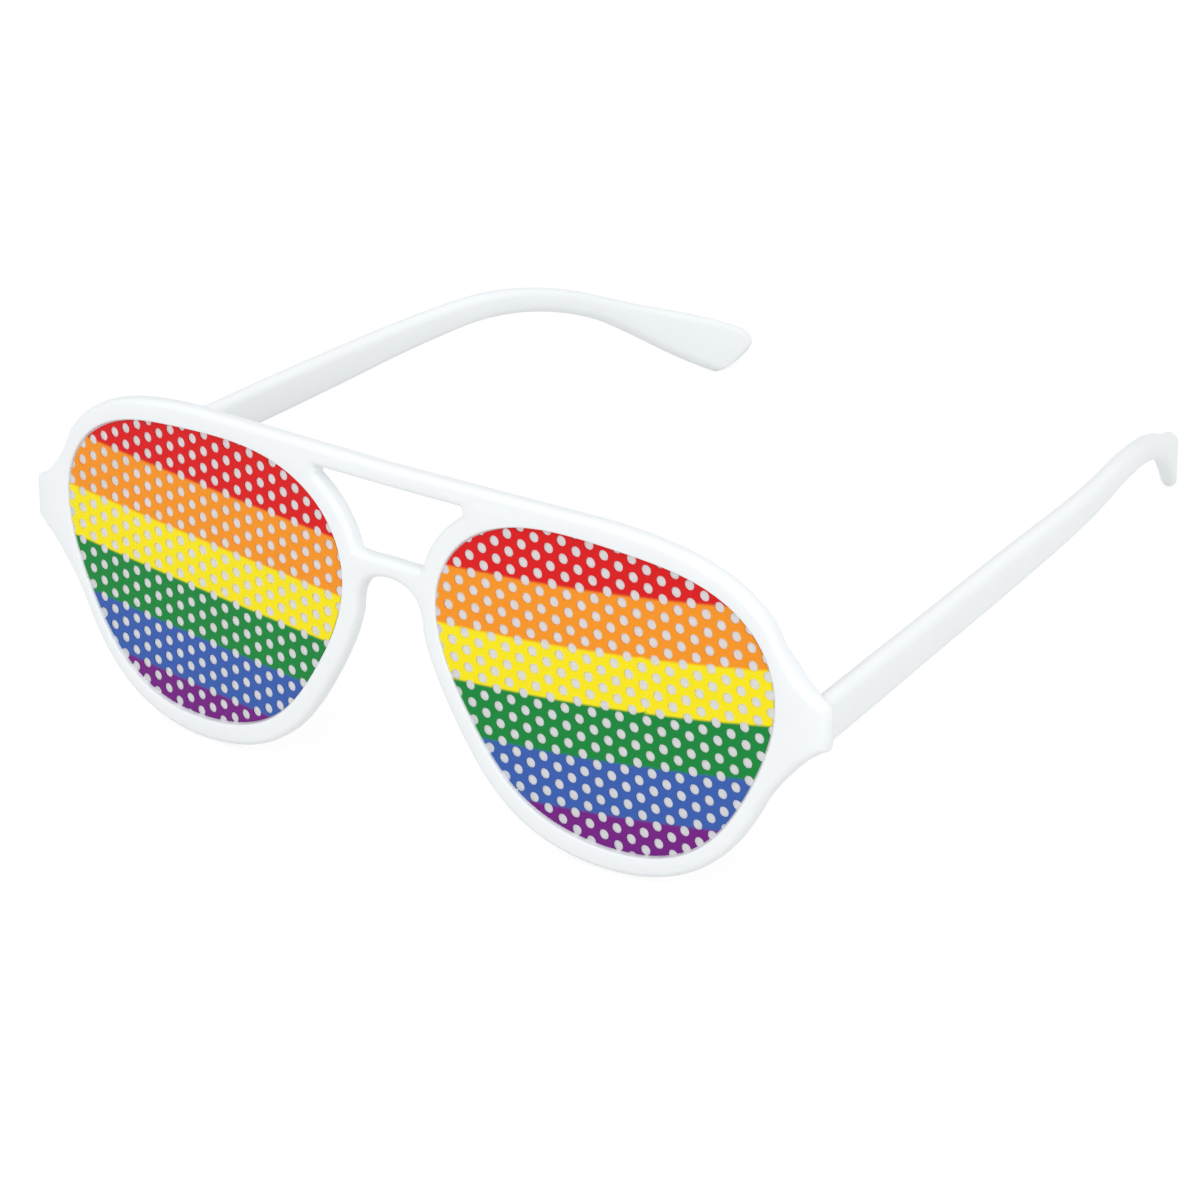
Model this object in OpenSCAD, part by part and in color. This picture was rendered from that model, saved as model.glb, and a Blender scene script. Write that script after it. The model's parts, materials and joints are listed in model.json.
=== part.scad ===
// Pinhole glasses: an aviator front with perforated striped film on clear lenses and two folding temples.
// The front stands on the X axis and faces -Y, the temples run to +Y, and +Z is up. The glasses stand on
// their two rims and two temple tips, with the origin on that surface under the middle of their box.
// Shapes of the front are drawn as seen from the front, with height 0 at the middle of the lens openings.

/* [Front] */
// Overall width of the front across both endpieces
front_w = 145; // [142:0.5:150]
// Thickness of the front, face to back
front_t = 2.8; // [2.6:0.1:3.6]
// Radius of the front's curve, seen from above
front_r = 620; // [560:20:1200]
// Mean width of the rim round each lens opening
rim_w = 2.9; // [2.8:0.1:4]
// How much wider the rim is above and below than at its sides
rim_swell = 0.5; // [0:0.05:0.7]
// How much wider still the rim is where the nose arch meets it
rim_nose = 0.9; // [0.4:0.1:1.2]
// Height of the bar across the top, over the nose arch
brow_h = 3.2; // [2.6:0.1:5]
// Height of the top of the nose arch's underside over the middle of the lenses
arch_z = 7.7; // [6.5:0.1:8.5]
// Thickness of the nose arch, seen from the front
arch_t = 2.9; // [2.4:0.1:3.6]

/* [Lens opening] */
// Mean radius of a lens opening
lens_r = 25.6; // [24.4:0.1:25.8]
// Distance between the middles of the two openings
lens_pitch = 73.8; // [73:0.1:75]
// How much the opening is wider than tall
lens_wide = 2.2; // [1.8:0.1:2.8]
// How much the opening narrows towards the cheek
lens_pear = 1.65; // [1:0.05:2]
// How far its lower outer side is drawn out
lens_skew = 0.7; // [0:0.1:1]
// How much further the opening reaches down than up
lens_sink = 0.2; // [0:0.05:0.4]
// How square its upper corners are
lens_square = 0.4; // [0:0.05:0.6]
// How flat its sides are
lens_flat = 0.3; // [0:0.05:0.5]

/* [Lens and film] */
// Thickness of a lens
lens_t = 1; // [0.8:0.1:1.2]
// Depth of the lens groove in the rim
groove_d = 1; // [0.6:0.1:1.6]
// Depth of the lens face behind the front of the rim
lens_in = 1; // [0.9:0.05:1.3]
// Thickness of the printed film
film_t = 0.2; // [0.15:0.05:0.3]
// Gap between the edge of the film and the rim
film_gap = 0.2; // [0.1:0.05:0.8]
// Diameter of a pinhole
hole_d = 1.6; // [1:0.1:1.8]
// Distance between neighbouring pinholes
hole_pitch = 2.65; // [2.4:0.05:4]
// Slope of the right film's print and pinholes, down towards the nose
right_print_tilt = 6; // [0:0.5:8]
// Slope of the left film's print and pinholes, down towards the nose
left_print_tilt = 3.5; // [0:0.5:8]

/* [Endpieces] */
// Height of the outer end of an endpiece
end_h = 7.3; // [6.8:0.1:8.5]
// Height of an endpiece's middle over the middle of the lenses
end_z = 2; // [1.5:0.1:3]
// Distance from the front's foremost point to the flat back of an endpiece
end_back = 6.9; // [6.8:0.1:8]
// Width of the thick block behind each endpiece
block_w = 6.7; // [6.4:0.1:6.8]

/* [Temples] */
// Thickness of a temple, side to side
temple_t = 3; // [2.6:0.1:3.6]
// Distance from the endpiece's outer end in to a temple's outer face
temple_in = 1.1; // [0.8:0.1:1.3]
// Height of a temple at its hinge
hinge_end_h = 7.2; // [6.4:0.1:7.6]
// Height of a temple at its tallest, behind the hinge
shaft_h = 6.6; // [6:0.1:8]
// Height of a temple at its narrowest, in the ear bend
neck_h = 4; // [3.6:0.1:5.5]
// Height of the paddle at the tip
paddle_h = 8.5; // [6.5:0.1:10]
// Length from the hinge to the start of the ear bend
shaft_len = 86.5; // [76:0.5:96]
// Radius of the ear bend
bend_r = 61; // [40:1:80]
// Length of the straight tip after the ear bend
tip_len = 23; // [20:0.5:36]
// Slope of the shaft, up towards the ear
shaft_rise = 3.3; // [0:0.1:5]
// Slope of the tip, down behind the ear
tip_drop = 27; // [20:0.2:36]
// Angle by which an open temple leans in
temple_lean = 4.4; // [3:0.1:6]
// Length from the hinge to where the temple starts to curve in round the head
side_len = 68; // [60:1:85]
// Radius of the curve round the head
head_r = 167; // [150:1:220]

/* [Hinges] */
// Outer radius of a hinge knuckle
knuckle_r = 1.3; // [1.1:0.05:1.35]
// Height of the whole stack of knuckles
stack_h = 4.6; // [4:0.1:4.8]
// Height of the temple's middle knuckle
middle_h = 1.5; // [1.2:0.1:2]
// Radius of the hinge screw's shank
screw_r = 0.6; // [0.5:0.05:0.7]
// Radius of the hinge screw's head
head_rad = 1; // [0.9:0.05:1.2]
// Thickness of a hinge leaf
leaf_t = 0.8; // [0.6:0.1:1]
// Length of the leaf along the temple
leaf_len = 9.5; // [7:0.5:14]

/* [Clearances] */
// Gap all round a lens in its groove
lens_fit = 0.1; // [0.05:0.05:0.2]
// Running clearance of the temple knuckle on the screw
screw_fit = 0.05; // [0.03:0.01:0.1]
// Gap between a screw and the knuckles of the front
thread_fit = 0.02; // [0.01:0.01:0.05]
// Gap between neighbouring knuckles, and between a knuckle and what it passes
knuckle_fit = 0.1; // [0.05:0.01:0.15]
// Gap between the end of a temple and the endpiece
butt_fit = 0.2; // [0.15:0.05:0.4]
// Gap between a leaf and its recess
recess_fit = 0.05; // [0.03:0.01:0.1]

/* [Hidden] */
$fn = 48;

RIGHT = 1;
LEFT = -1;
WHITE = [0.95, 0.95, 0.96];
CLEAR = [0.86, 0.88, 0.9, 0.6];
STEEL = [0.72, 0.73, 0.75];
PRINT = [0.97, 0.75, 0.16];

// A cutter's reach past what it cuts, and a length beyond the whole object's height
over = 2;
tall = 120;
// Points round a lens opening, and along each edge of a temple
rim_points = 72;
edge_points = 26;

lens_x = lens_pitch / 2;
wrap = asin(lens_x / front_r);
function sag(x) = front_r - sqrt(front_r * front_r - x * x);

// The opening's radius at an angle from its outer side, anticlockwise on the right lens
function opening_r(a) = lens_r - lens_sink * sin(a) + lens_wide * cos(2 * a) - lens_skew * sin(2 * a)
    + lens_pear * sin(3 * a) - lens_flat * cos(4 * a) + lens_square * sin(5 * a);
// The rim is at its widest a little outwards of its top and a little inwards of its lowest point
swell_angle = 33;
nose_angle = 20;
function rim_width(a) = rim_w - rim_swell * cos(2 * a + swell_angle)
    + rim_nose * pow(max(0, -cos(a + nose_angle)), 4);
function ring(extra) = [for (i = [0:rim_points - 1]) let (a = i * 360 / rim_points, r = opening_r(a) + extra)
    [r * cos(a), r * sin(a)]];
// A point of the right rim's outer edge, seen from the front
function rim(a) = (opening_r(a) + rim_width(a)) * [cos(a), sin(a)] + [lens_x, 0];

// The hinge axis, which stands in the front's own upright direction
hinge_gap = knuckle_r + 2 * knuckle_fit;
hinge_x = front_w / 2 - temple_in - temple_t - hinge_gap;
hinge_y = end_back + butt_fit + knuckle_r;
butt = knuckle_r;

// The line of a temple seen from the side, measured back and up from the hinge axis
bend_start = [shaft_len * cos(shaft_rise), shaft_len * sin(shaft_rise)];
bend_end = bend_start + bend_r * [sin(shaft_rise) + sin(tip_drop), cos(tip_drop) - cos(shaft_rise)];
bend_len = bend_r * (shaft_rise + tip_drop) * PI / 180;
temple_len = shaft_len + bend_len + tip_len;
function path_slope(s) = s < shaft_len ? shaft_rise
    : s < shaft_len + bend_len ? shaft_rise - (s - shaft_len) / bend_r * 180 / PI : -tip_drop;
function path(s) = s < shaft_len ? s * [cos(shaft_rise), sin(shaft_rise)]
    : s < shaft_len + bend_len
        ? bend_start + bend_r * [sin(shaft_rise) - sin(path_slope(s)), cos(path_slope(s)) - cos(shaft_rise)]
    : bend_end + (s - shaft_len - bend_len) * [cos(tip_drop), -sin(tip_drop)];
function ease(t) = (1 - cos(180 * min(1, max(0, t)))) / 2;
// A temple's height along its line: tallest on the shaft, narrowest in the bend, widest at the paddle
tall_share = 0.44;
neck_share = 0.85;
tall_at = tall_share * shaft_len;
neck_at = shaft_len + neck_share * bend_len;
function temple_h(s) = s < tall_at ? hinge_end_h + (shaft_h - hinge_end_h) * ease(s / tall_at)
    : s < neck_at ? shaft_h + (neck_h - shaft_h) * ease((s - tall_at) / (neck_at - tall_at))
    : neck_h + (paddle_h - neck_h) * ease((s - neck_at) / (temple_len - neck_at));
function edge(s, up) = path(s) + up * temple_h(s) / 2 * [-sin(path_slope(s)), cos(path_slope(s))];
// The paddle's rounded end, longer above than below
paddle_round = 0.75;
paddle_slant = 0.45;
function paddle_end(a) = path(temple_len) + temple_h(temple_len) / 2
    * (sin(a) * [sin(tip_drop), cos(tip_drop)]
       + (paddle_round + paddle_slant * sin(a)) * max(0, cos(a)) * [cos(tip_drop), -sin(tip_drop)]);

// A point of a temple's side view, as depth and height in the front's own directions, at its middle thickness
function turned_in(y) = head_r * (1 - cos(asin(max(0, y - side_len) / head_r)));
function temple_point(p) = [
    hinge_y + p[0] * cos(temple_lean) + (hinge_gap + temple_t / 2 - turned_in(p[0])) * sin(temple_lean),
    end_z + p[1]];

// How far the glasses lean back when they stand on their rims and tips
rim_low = [sag(lens_x + over) + front_t, min([for (a = [266:282]) rim(a)[1]])];
tip_rest_angle = -70;
tip_low = temple_point(paddle_end(tip_rest_angle));
rest_lean = atan((tip_low[1] - rim_low[1]) / (tip_low[0] - rim_low[0]));
function leant(p) = [p[0] * cos(rest_lean) + p[1] * sin(rest_lean),
    p[1] * cos(rest_lean) - p[0] * sin(rest_lean)];
rest_z = -leant(rim_low)[1];
foremost = min([for (a = [-120:5:-80]) leant([sag(rim(a)[0]), rim(a)[1]])[0]]);
rearmost = max([for (a = [0:10:60]) leant(temple_point(paddle_end(a)))[0]]);

module placed() translate([0, -(foremost + rearmost) / 2, rest_z]) rotate([-rest_lean, 0, 0]) children();
module on_side(side) mirror([side == LEFT ? 1 : 0, 0, 0]) children();
// A flat drawing, seen from the front, given its depth from y0 back to y1
module plate(y0, y1) translate([0, y1, 0]) rotate([90, 0, 0]) linear_extrude(y1 - y0) children();
// A flat drawing, seen from the side with +X on the page towards +Y, given its width from x0 to x1
module slab(x0, x1) translate([x0, 0, 0]) rotate([90, 0, 90]) linear_extrude(x1 - x0) children();
module upright(r, z0, z1) translate([0, 0, z0]) cylinder(r = r, h = z1 - z0);
module block(a, b) translate(a) cube(b - a);
// The place of a lens, flat against the middle of its opening, and of a hinge axis and an open temple
module at_lens(side) on_side(side) translate([lens_x, sag(lens_x), 0]) rotate([0, 0, wrap]) children();
module at_hinge(side) on_side(side) translate([hinge_x, hinge_y, end_z]) children();
module at_temple(side) at_hinge(side) rotate([0, 0, temple_lean]) children();

// Frame front

// A stretch of curve from p to q that leaves and arrives along the middle point m
function bow(p, m, q, n) = [for (i = [0:n]) let (t = i / n)
    p * (1 - t) * (1 - t) + m * 2 * t * (1 - t) + q * t * t];
rim_step_angle = 5;
function rim_arc(a, b) = let (n = round(abs(b - a) / rim_step_angle))
    [for (i = [0:n]) rim(a + i * (b - a) / n)];
function flipped(points) = [for (i = [len(points) - 1:-1:0]) [-points[i][0], points[i][1]]];

// Where the right rim meets the top bar, its endpiece and the nose arch, as angles from its outer side
bar_angle = 100;
end_top_angle = 34;
end_low_angle = -28;
arch_low_angle = -178;
arch_top_angle = -199;
bar_low_angle = -221;
brow_z = rim(bar_angle)[1];
end_corner = 0.9;
waist_in = 2.4;
waist_up = 2.2;
waist_down = 2.6;
saddle = [3.4, 0.1];
end_top = [front_w / 2, end_z + end_h / 2];
end_low = [front_w / 2, end_z - end_h / 2];
waist_x = (rim(0)[0] + front_w / 2) / 2 - waist_in;

// The right half of the outline, from the middle of the top bar round to the middle of the nose arch
half_outline = concat(
    [[0, brow_z]], rim_arc(bar_angle, end_top_angle),
    bow(rim(end_top_angle - rim_step_angle), [waist_x, end_top[1] + waist_up], end_top - [end_corner, 0], 6),
    [end_top - [0, end_corner], end_low + [0, end_corner]],
    bow(end_low - [end_corner, 0], [waist_x, end_low[1] - waist_down],
        rim(end_low_angle + rim_step_angle), 6),
    rim_arc(end_low_angle, arch_low_angle),
    bow(rim(arch_low_angle - 4), [rim(arch_low_angle - 4)[0], arch_z], [0, arch_z], 8));

// The gap between the top bar and the nose arch, again from the middle round
half_window = concat(
    [[0, brow_z - brow_h], [rim(bar_low_angle)[0], brow_z - brow_h]], rim_arc(bar_low_angle, arch_top_angle),
    bow([saddle[0], arch_z + arch_t - saddle[1]], [saddle[0] / 2, arch_z + arch_t], [0, arch_z + arch_t], 3));

module round_front(depth) translate([0, front_r, 0])
    cylinder(r = front_r - depth, h = tall, center = true, $fn = 720);

// The block behind an endpiece stands a little past it above and below
block_over = 0.6;

module frame_front() color(WHITE) placed() difference() {
    intersection() {
        round_front(0);
        plate(-over, end_back) polygon(concat(half_outline, flipped(half_outline)));
    }
    // The back is hollowed to the front's thickness, but for a block behind each endpiece
    difference() {
        round_front(front_t);
        for (side = [RIGHT, LEFT]) on_side(side)
            block([front_w / 2 - block_w, -over, end_low[1] - block_over],
                  [front_w, end_back + over, end_top[1] + block_over]);
    }
    plate(-2 * over, end_back) polygon(concat(half_window, flipped(half_window)));
    for (side = [RIGHT, LEFT]) {
        on_side(side) translate([lens_x, 0, 0]) plate(-2 * over, end_back) polygon(ring(0));
        at_lens(side) plate(lens_in, lens_in + lens_t + lens_fit) polygon(ring(groove_d));
        at_hinge(side) front_recess();
    }
}

// Lenses and films

module lens(side) color(CLEAR) placed() at_lens(side)
    plate(lens_in, lens_in + lens_t) polygon(ring(groove_d - lens_fit));

hole_column = hole_pitch * cos(30);
hole_reach = ceil(1.3 * lens_r / hole_column);
hole_edge = 2 * film_gap;
function hole_at(i, j, tilt) = let (u = i * hole_column, v = (j + (i % 2 == 0 ? 0 : 0.5)) * hole_pitch)
    [u * cos(tilt) - v * sin(tilt), v * cos(tilt) + u * sin(tilt)];
function hole_fits(p) = norm(p) + hole_d / 2 + hole_edge < opening_r(atan2(p[1], p[0]));

module film(side, tilt) color(PRINT) placed() at_lens(side) difference() {
    plate(lens_in - film_t, lens_in) polygon(ring(-film_gap));
    for (i = [-hole_reach:hole_reach], j = [-hole_reach:hole_reach]) let (p = hole_at(i, j, tilt))
        if (hole_fits(p)) translate([p[0], 0, p[1]]) rotate([90, 0, 0])
            upright(hole_d / 2, -lens_in - over, over, $fn = 24);
}

// Temples

module temple_side() polygon(concat(
    [[-butt, -hinge_end_h / 2 - butt * sin(shaft_rise)], [-butt, hinge_end_h / 2 - butt * sin(shaft_rise)]],
    [for (i = [0:edge_points]) edge(i * temple_len / edge_points, 1)],
    [for (a = [70:-20:-70]) paddle_end(a)],
    [for (i = [edge_points:-1:0]) edge(i * temple_len / edge_points, -1)]));

// A point of the temple's line seen from above, and the same line moved sideways
head_turn = asin(min(0.9, (bend_end[0] + tip_len + paddle_h - side_len) / head_r));
function plan(a, out) = [hinge_gap + temple_t / 2 - head_r + (head_r + out) * cos(a),
    side_len + (head_r + out) * sin(a)];
plan_steps = 16;
module temple_plan() polygon(concat(
    [[hinge_gap, -butt - over]], [for (i = [0:plan_steps]) plan(i * head_turn / plan_steps, -temple_t / 2)],
    [for (i = [plan_steps:-1:0]) plan(i * head_turn / plan_steps, temple_t / 2)],
    [[hinge_gap + temple_t, -butt - over]]));

module temple(side) color(WHITE) placed() at_temple(side) difference() {
    intersection() {
        slab(-head_r, head_r) temple_side();
        linear_extrude(tall, center = true) temple_plan();
    }
    temple_recess();
}

// Hinges: two knuckles on a leaf in the endpiece, one on a leaf in the temple, and a screw through them

leaf_h = stack_h;
leaf_edge = 0.5;
front_leaf_in = [front_w / 2 - block_w + leaf_edge - hinge_x, -butt - butt_fit - leaf_t];
front_leaf_out = front_w / 2 - 2 * leaf_edge - hinge_x;
temple_leaf_x = hinge_gap - leaf_edge;
temple_leaf_y = knuckle_r + 4 * knuckle_fit;
// Width of the arms that carry the knuckles, and of the slot in a screw's head
arm_w = 1.2;
slot_w = 0.3;

module front_recess()
    block([front_leaf_in[0] - recess_fit, front_leaf_in[1] - recess_fit, -leaf_h / 2 - recess_fit],
          [front_leaf_out + recess_fit, 0, leaf_h / 2 + recess_fit]);

module front_leaf(side) color(STEEL) placed() at_hinge(side) difference() {
    union() {
        block([front_leaf_in[0], front_leaf_in[1], -leaf_h / 2],
              [front_leaf_out, front_leaf_in[1] + leaf_t, leaf_h / 2]);
        for (up = [0, 1]) mirror([0, 0, up]) {
            upright(knuckle_r, middle_h / 2 + knuckle_fit, stack_h / 2);
            block([-arm_w / 2, front_leaf_in[1], middle_h / 2 + knuckle_fit], [arm_w / 2, 0, stack_h / 2]);
        }
    }
    upright(screw_r + thread_fit, -stack_h, stack_h);
}

module temple_recess() block([temple_leaf_x - over, temple_leaf_y - recess_fit, -leaf_h / 2 - recess_fit],
                             [temple_leaf_x + leaf_t + recess_fit, temple_leaf_y + leaf_len + recess_fit,
                              leaf_h / 2 + recess_fit]);

module temple_leaf(side) color(STEEL) placed() at_temple(side) difference() {
    union() {
        block([temple_leaf_x, temple_leaf_y, -leaf_h / 2],
              [temple_leaf_x + leaf_t, temple_leaf_y + leaf_len, leaf_h / 2]);
        upright(knuckle_r, -middle_h / 2, middle_h / 2);
        block([knuckle_r - arm_w, 0, -middle_h / 2],
              [temple_leaf_x + leaf_t / 2, temple_leaf_y + arm_w, middle_h / 2]);
    }
    upright(screw_r + screw_fit, -stack_h, stack_h);
}

module hinge_screw(side) color(STEEL) placed() at_hinge(side) difference() {
    union() {
        upright(screw_r, -stack_h / 2, stack_h / 2 + head_rad / 2);
        upright(head_rad, stack_h / 2, stack_h / 2 + head_rad / 2);
    }
    block([-head_rad - over, -slot_w / 2, stack_h / 2 + head_rad / 4],
          [head_rad + over, slot_w / 2, stack_h / 2 + head_rad]);
}

frame_front();
lens(RIGHT);  // lens_right
lens(LEFT);  // lens_left
film(RIGHT, right_print_tilt);  // film_right
film(LEFT, left_print_tilt);  // film_left
temple(RIGHT);  // temple_right
temple(LEFT);  // temple_left
front_leaf(RIGHT);  // front_leaf_right
front_leaf(LEFT);  // front_leaf_left
temple_leaf(RIGHT);  // temple_leaf_right
temple_leaf(LEFT);  // temple_leaf_left
hinge_screw(RIGHT);  // hinge_screw_right
hinge_screw(LEFT);  // hinge_screw_left
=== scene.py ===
"""Pinhole glasses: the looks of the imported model, laid out as an add-on with one operator a group of pieces.

Lengths are in metres and angles in radians. The front is drawn in its own upright frame, as seen from the
front, with x to the right, z up and y from its foremost point back. The glasses lean back a little on the
table, and front_to_table() takes a point of the front's own frame there.
"""
import json
import math
from functools import partialmethod

import bmesh
import bpy
from bpy.props import FloatProperty, FloatVectorProperty, IntProperty, PointerProperty
from mathutils import Matrix, Vector
from mathutils.geometry import delaunay_2d_cdt


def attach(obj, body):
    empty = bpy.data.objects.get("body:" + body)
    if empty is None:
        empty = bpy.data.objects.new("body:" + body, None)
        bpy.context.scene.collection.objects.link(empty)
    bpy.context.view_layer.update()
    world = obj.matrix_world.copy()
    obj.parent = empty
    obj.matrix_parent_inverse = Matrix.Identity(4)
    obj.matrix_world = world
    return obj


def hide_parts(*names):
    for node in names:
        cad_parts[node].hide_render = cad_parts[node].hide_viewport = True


bl_info = {
    "name": "Pinhole glasses",
    "version": (1, 0, 0),
    "blender": (4, 5, 0),
    "location": "3D View > Sidebar > Glasses",
    "description": "Builds striped pinhole glasses round their packed model",
    "category": "Object",
}

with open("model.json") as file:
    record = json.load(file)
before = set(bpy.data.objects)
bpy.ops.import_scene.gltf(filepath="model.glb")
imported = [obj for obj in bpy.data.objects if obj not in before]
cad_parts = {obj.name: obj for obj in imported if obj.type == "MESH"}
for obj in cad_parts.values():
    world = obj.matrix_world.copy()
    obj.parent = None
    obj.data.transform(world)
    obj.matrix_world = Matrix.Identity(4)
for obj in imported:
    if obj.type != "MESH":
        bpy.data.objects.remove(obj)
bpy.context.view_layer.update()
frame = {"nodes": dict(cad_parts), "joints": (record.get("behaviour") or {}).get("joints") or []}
MM = 0.001
SIDES = {"right": 1, "left": -1}
JOINTS = {joint["name"]: joint for joint in frame["joints"]}
STRIPES = ("red", "orange", "yellow", "green", "blue", "violet")
# How far the hinge axis is behind the flat back of an endpiece
HINGE_BEHIND = 1.5 * MM
# Room round a leaf in its recess
LEAF_ROOM = 0.05 * MM
# Turns the front's x, depth and height into a drawing's u, v and w, and back
DRAWING = Matrix(((1, 0, 0, 0), (0, 0, 1, 0), (0, 1, 0, 0), (0, 0, 0, 1)))


def length(name, description, millimetres):
    """A size in the sidebar, given here in millimetres."""
    return FloatProperty(name=name, description=description, default=millimetres * MM, unit="LENGTH",
                         subtype="DISTANCE", precision=5)


def angle(name, description, degrees):
    """An angle in the sidebar, given here in degrees."""
    return FloatProperty(name=name, description=description, default=math.radians(degrees), unit="ROTATION",
                         subtype="ANGLE")


def share(name, description, value):
    """A number in the sidebar."""
    return FloatProperty(name=name, description=description, default=value, precision=4)


def colour(name, pieces, red, green, blue):
    """A colour in the sidebar, given here as the screen shows it, from 0 to 255."""
    linear = [((c / 255 + 0.055) / 1.055) ** 2.4 for c in (red, green, blue)]
    return FloatVectorProperty(name=name, description="Colour of the " + pieces, default=linear, size=3,
                               min=0, max=1, subtype="COLOR")


class GlassesFront(bpy.types.PropertyGroup):
    """Sizes of the front: its two rims, top bar, nose arch and endpieces."""
    width: length("Width", "Overall width across both endpieces", 145)
    thick: length("Thickness", "Thickness from face to back", 2.8)
    bow: length("Bow radius", "Radius of the front's curve, seen from above", 620)
    rim: length("Rim", "Mean width of the rim", 2.9)
    rim_swell: length("Rim swell", "How much wider the rim is above and below than at its sides", 0.5)
    rim_nose: length("Rim at the nose", "How much wider the rim is where the nose arch meets it", 0.9)
    brow: length("Top bar", "Height of the top bar", 3.2)
    arch_z: length("Arch", "Height of the underside of the nose arch", 7.7)
    arch_thick: length("Arch thickness", "Thickness of the nose arch, seen from the front", 2.9)
    end_h: length("Endpiece", "Height of an endpiece's outer end", 7.3)
    end_z: length("Endpiece place", "Height of an endpiece's middle", 2)
    end_back: length("Endpiece depth", "Depth of the flat back of an endpiece", 6.9)
    block: length("Block", "Width of the thick block behind each endpiece", 6.7)
    round_face: length("Face rounding", "Rounding of the outer edges of the face", 1.05)
    round_back: length("Back rounding", "Rounding of the outer edges of the back", 0.8)
    round_opening: length("Opening rounding", "Rounding of the edges of the lens openings", 0.33)
    round_end: length("End rounding", "How far the face of an endpiece turns back at its outer end", 3.4)


class GlassesLens(bpy.types.PropertyGroup):
    """Sizes of the lens openings and the lenses."""
    radius: length("Radius", "Mean radius of a lens opening", 25.6)
    pitch: length("Pitch", "Distance between the middles of the openings", 73.8)
    wide: length("Wide", "How much the opening is wider than tall", 2.2)
    pear: length("Pear", "How much the opening narrows towards the cheek", 1.65)
    lean: length("Lean", "How far the lower outer side is drawn out", 0.7)
    sink: length("Sink", "How much further the opening reaches down than up", 0.2)
    square: length("Square", "How square the upper corners are", 0.4)
    flat: length("Flat", "How flat the sides are", 0.3)
    thick: length("Thickness", "Thickness of a lens", 1)
    groove: length("Groove", "Depth of the lens groove", 1)
    depth: length("Depth", "Depth of the lens face behind the front of the rim", 1)
    fit: length("Fit", "Gap round a lens in its groove", 0.1)


class GlassesFilm(bpy.types.PropertyGroup):
    """Sizes of the perforated films and their stripes."""
    thick: length("Thickness", "Thickness of the printed film", 0.2)
    gap: length("Gap", "Gap between the edge of the film and the rim", 0.2)
    hole: length("Pinhole", "Diameter of a pinhole", 1.6)
    pitch: length("Pitch", "Distance between neighbouring pinholes", 2.65)
    slope_right: angle("Slope, right", "Slope of the right film's print, down towards the nose", 6)
    slope_left: angle("Slope, left", "Slope of the left film's print, down towards the nose", 3.5)
    stripe_right: length("Stripe, right", "Height of one stripe on the right film", 8.25)
    stripe_left: length("Stripe, left", "Height of one stripe on the left film", 8.05)
    orange: length("Orange stripe", "How much taller the orange stripe is than the others", 0.75)
    bow_right: share("Bow, right", "Half of the right stripes' curvature, as one over metres", 1.4)
    bow_left: share("Bow, left", "Half of the left stripes' curvature, as one over metres", 0.3)
    first_right: length("Top of orange, right", "Height where red meets orange on the right film", 14.3)
    first_left: length("Top of orange, left", "Height where red meets orange on the left film", 13.1)


class GlassesTemple(bpy.types.PropertyGroup):
    """Sizes of a temple, measured along its line from the hinge."""
    thick: length("Thickness", "Thickness from side to side", 3)
    inset: length("Inset", "Distance from the endpiece's outer end in to the outer face", 1.1)
    hinge_h: length("Height at the hinge", "Height at the hinge", 7.2)
    shaft_h: length("Height of the shaft", "Height on the shaft", 6.6)
    neck_h: length("Height of the neck", "Height at the narrowest place, in the ear bend", 4)
    paddle_h: length("Height of the paddle", "Height of the paddle at the tip", 8.5)
    shaft: length("Shaft", "Length from the hinge to the ear bend", 86.5)
    bend: length("Bend radius", "Radius of the ear bend", 61)
    tip: length("Tip", "Length of the straight tip", 23)
    rise: angle("Rise", "Slope of the shaft, up towards the ear", 3.3)
    drop: angle("Drop", "Slope of the tip, down behind the ear", 27)
    lean: angle("Lean", "Angle by which an open temple leans in", 4.4)
    side: length("Straight side", "Length before the temple curves in round the head", 68)
    head: length("Head radius", "Radius of the curve round the head", 167)
    butt: length("Butt", "How far the temple reaches in front of its hinge axis", 1.3)
    tall_at: share("Tallest at", "Where the shaft's own height is reached, as a share of the shaft", 0.44)
    neck_at: share("Narrowest at", "Where the neck is, as a share of the bend", 0.85)
    end_round: share("End roundness", "How far the tip's end reaches, as a share of half its height", 0.75)
    end_slant: share("End slant", "How much further it reaches above than below", 0.45)
    rings: IntProperty(name="Rings", description="Rings of faces along a temple", default=150)
    sides: IntProperty(name="Sides", description="Faces round a temple", default=28)


class GlassesLook(bpy.types.PropertyGroup):
    """Colours and the camera."""
    white: colour("Frame", "moulded front and temples", 243, 247, 249)
    clear: colour("Lens", "lenses", 240, 241, 243)
    steel: colour("Steel", "hinge leaves and screws", 199, 201, 205)
    red: colour("Red", "first stripe", 220, 22, 26)
    orange: colour("Orange", "second stripe", 247, 150, 35)
    yellow: colour("Yellow", "third stripe", 250, 232, 25)
    green: colour("Green", "fourth stripe", 16, 134, 58)
    blue: colour("Blue", "fifth stripe", 56, 94, 174)
    violet: colour("Violet", "sixth stripe", 116, 26, 130)
    azimuth: angle("Azimuth", "Direction that the camera looks from, round the front", 36.87)
    elevation: angle("Elevation", "Height that the camera looks from", 23.31)
    roll: angle("Roll", "Turn of the camera about its line of sight", -0.3)
    distance: length("Distance", "Distance of the camera along its line of sight", 676.48)
    aside: length("Aside", "How far the camera stands to the right of the front's middle", 30.3)
    above: length("Above", "How far the camera stands above the front's middle", 4.25)
    focal: FloatProperty(name="Focal length", description="Focal length on a 36 mm sensor", default=141.94,
                         unit="CAMERA")


def sidebar(group):
    """One group of the values in the sidebar."""
    return getattr(bpy.context.scene, "glasses_" + group)


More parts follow.
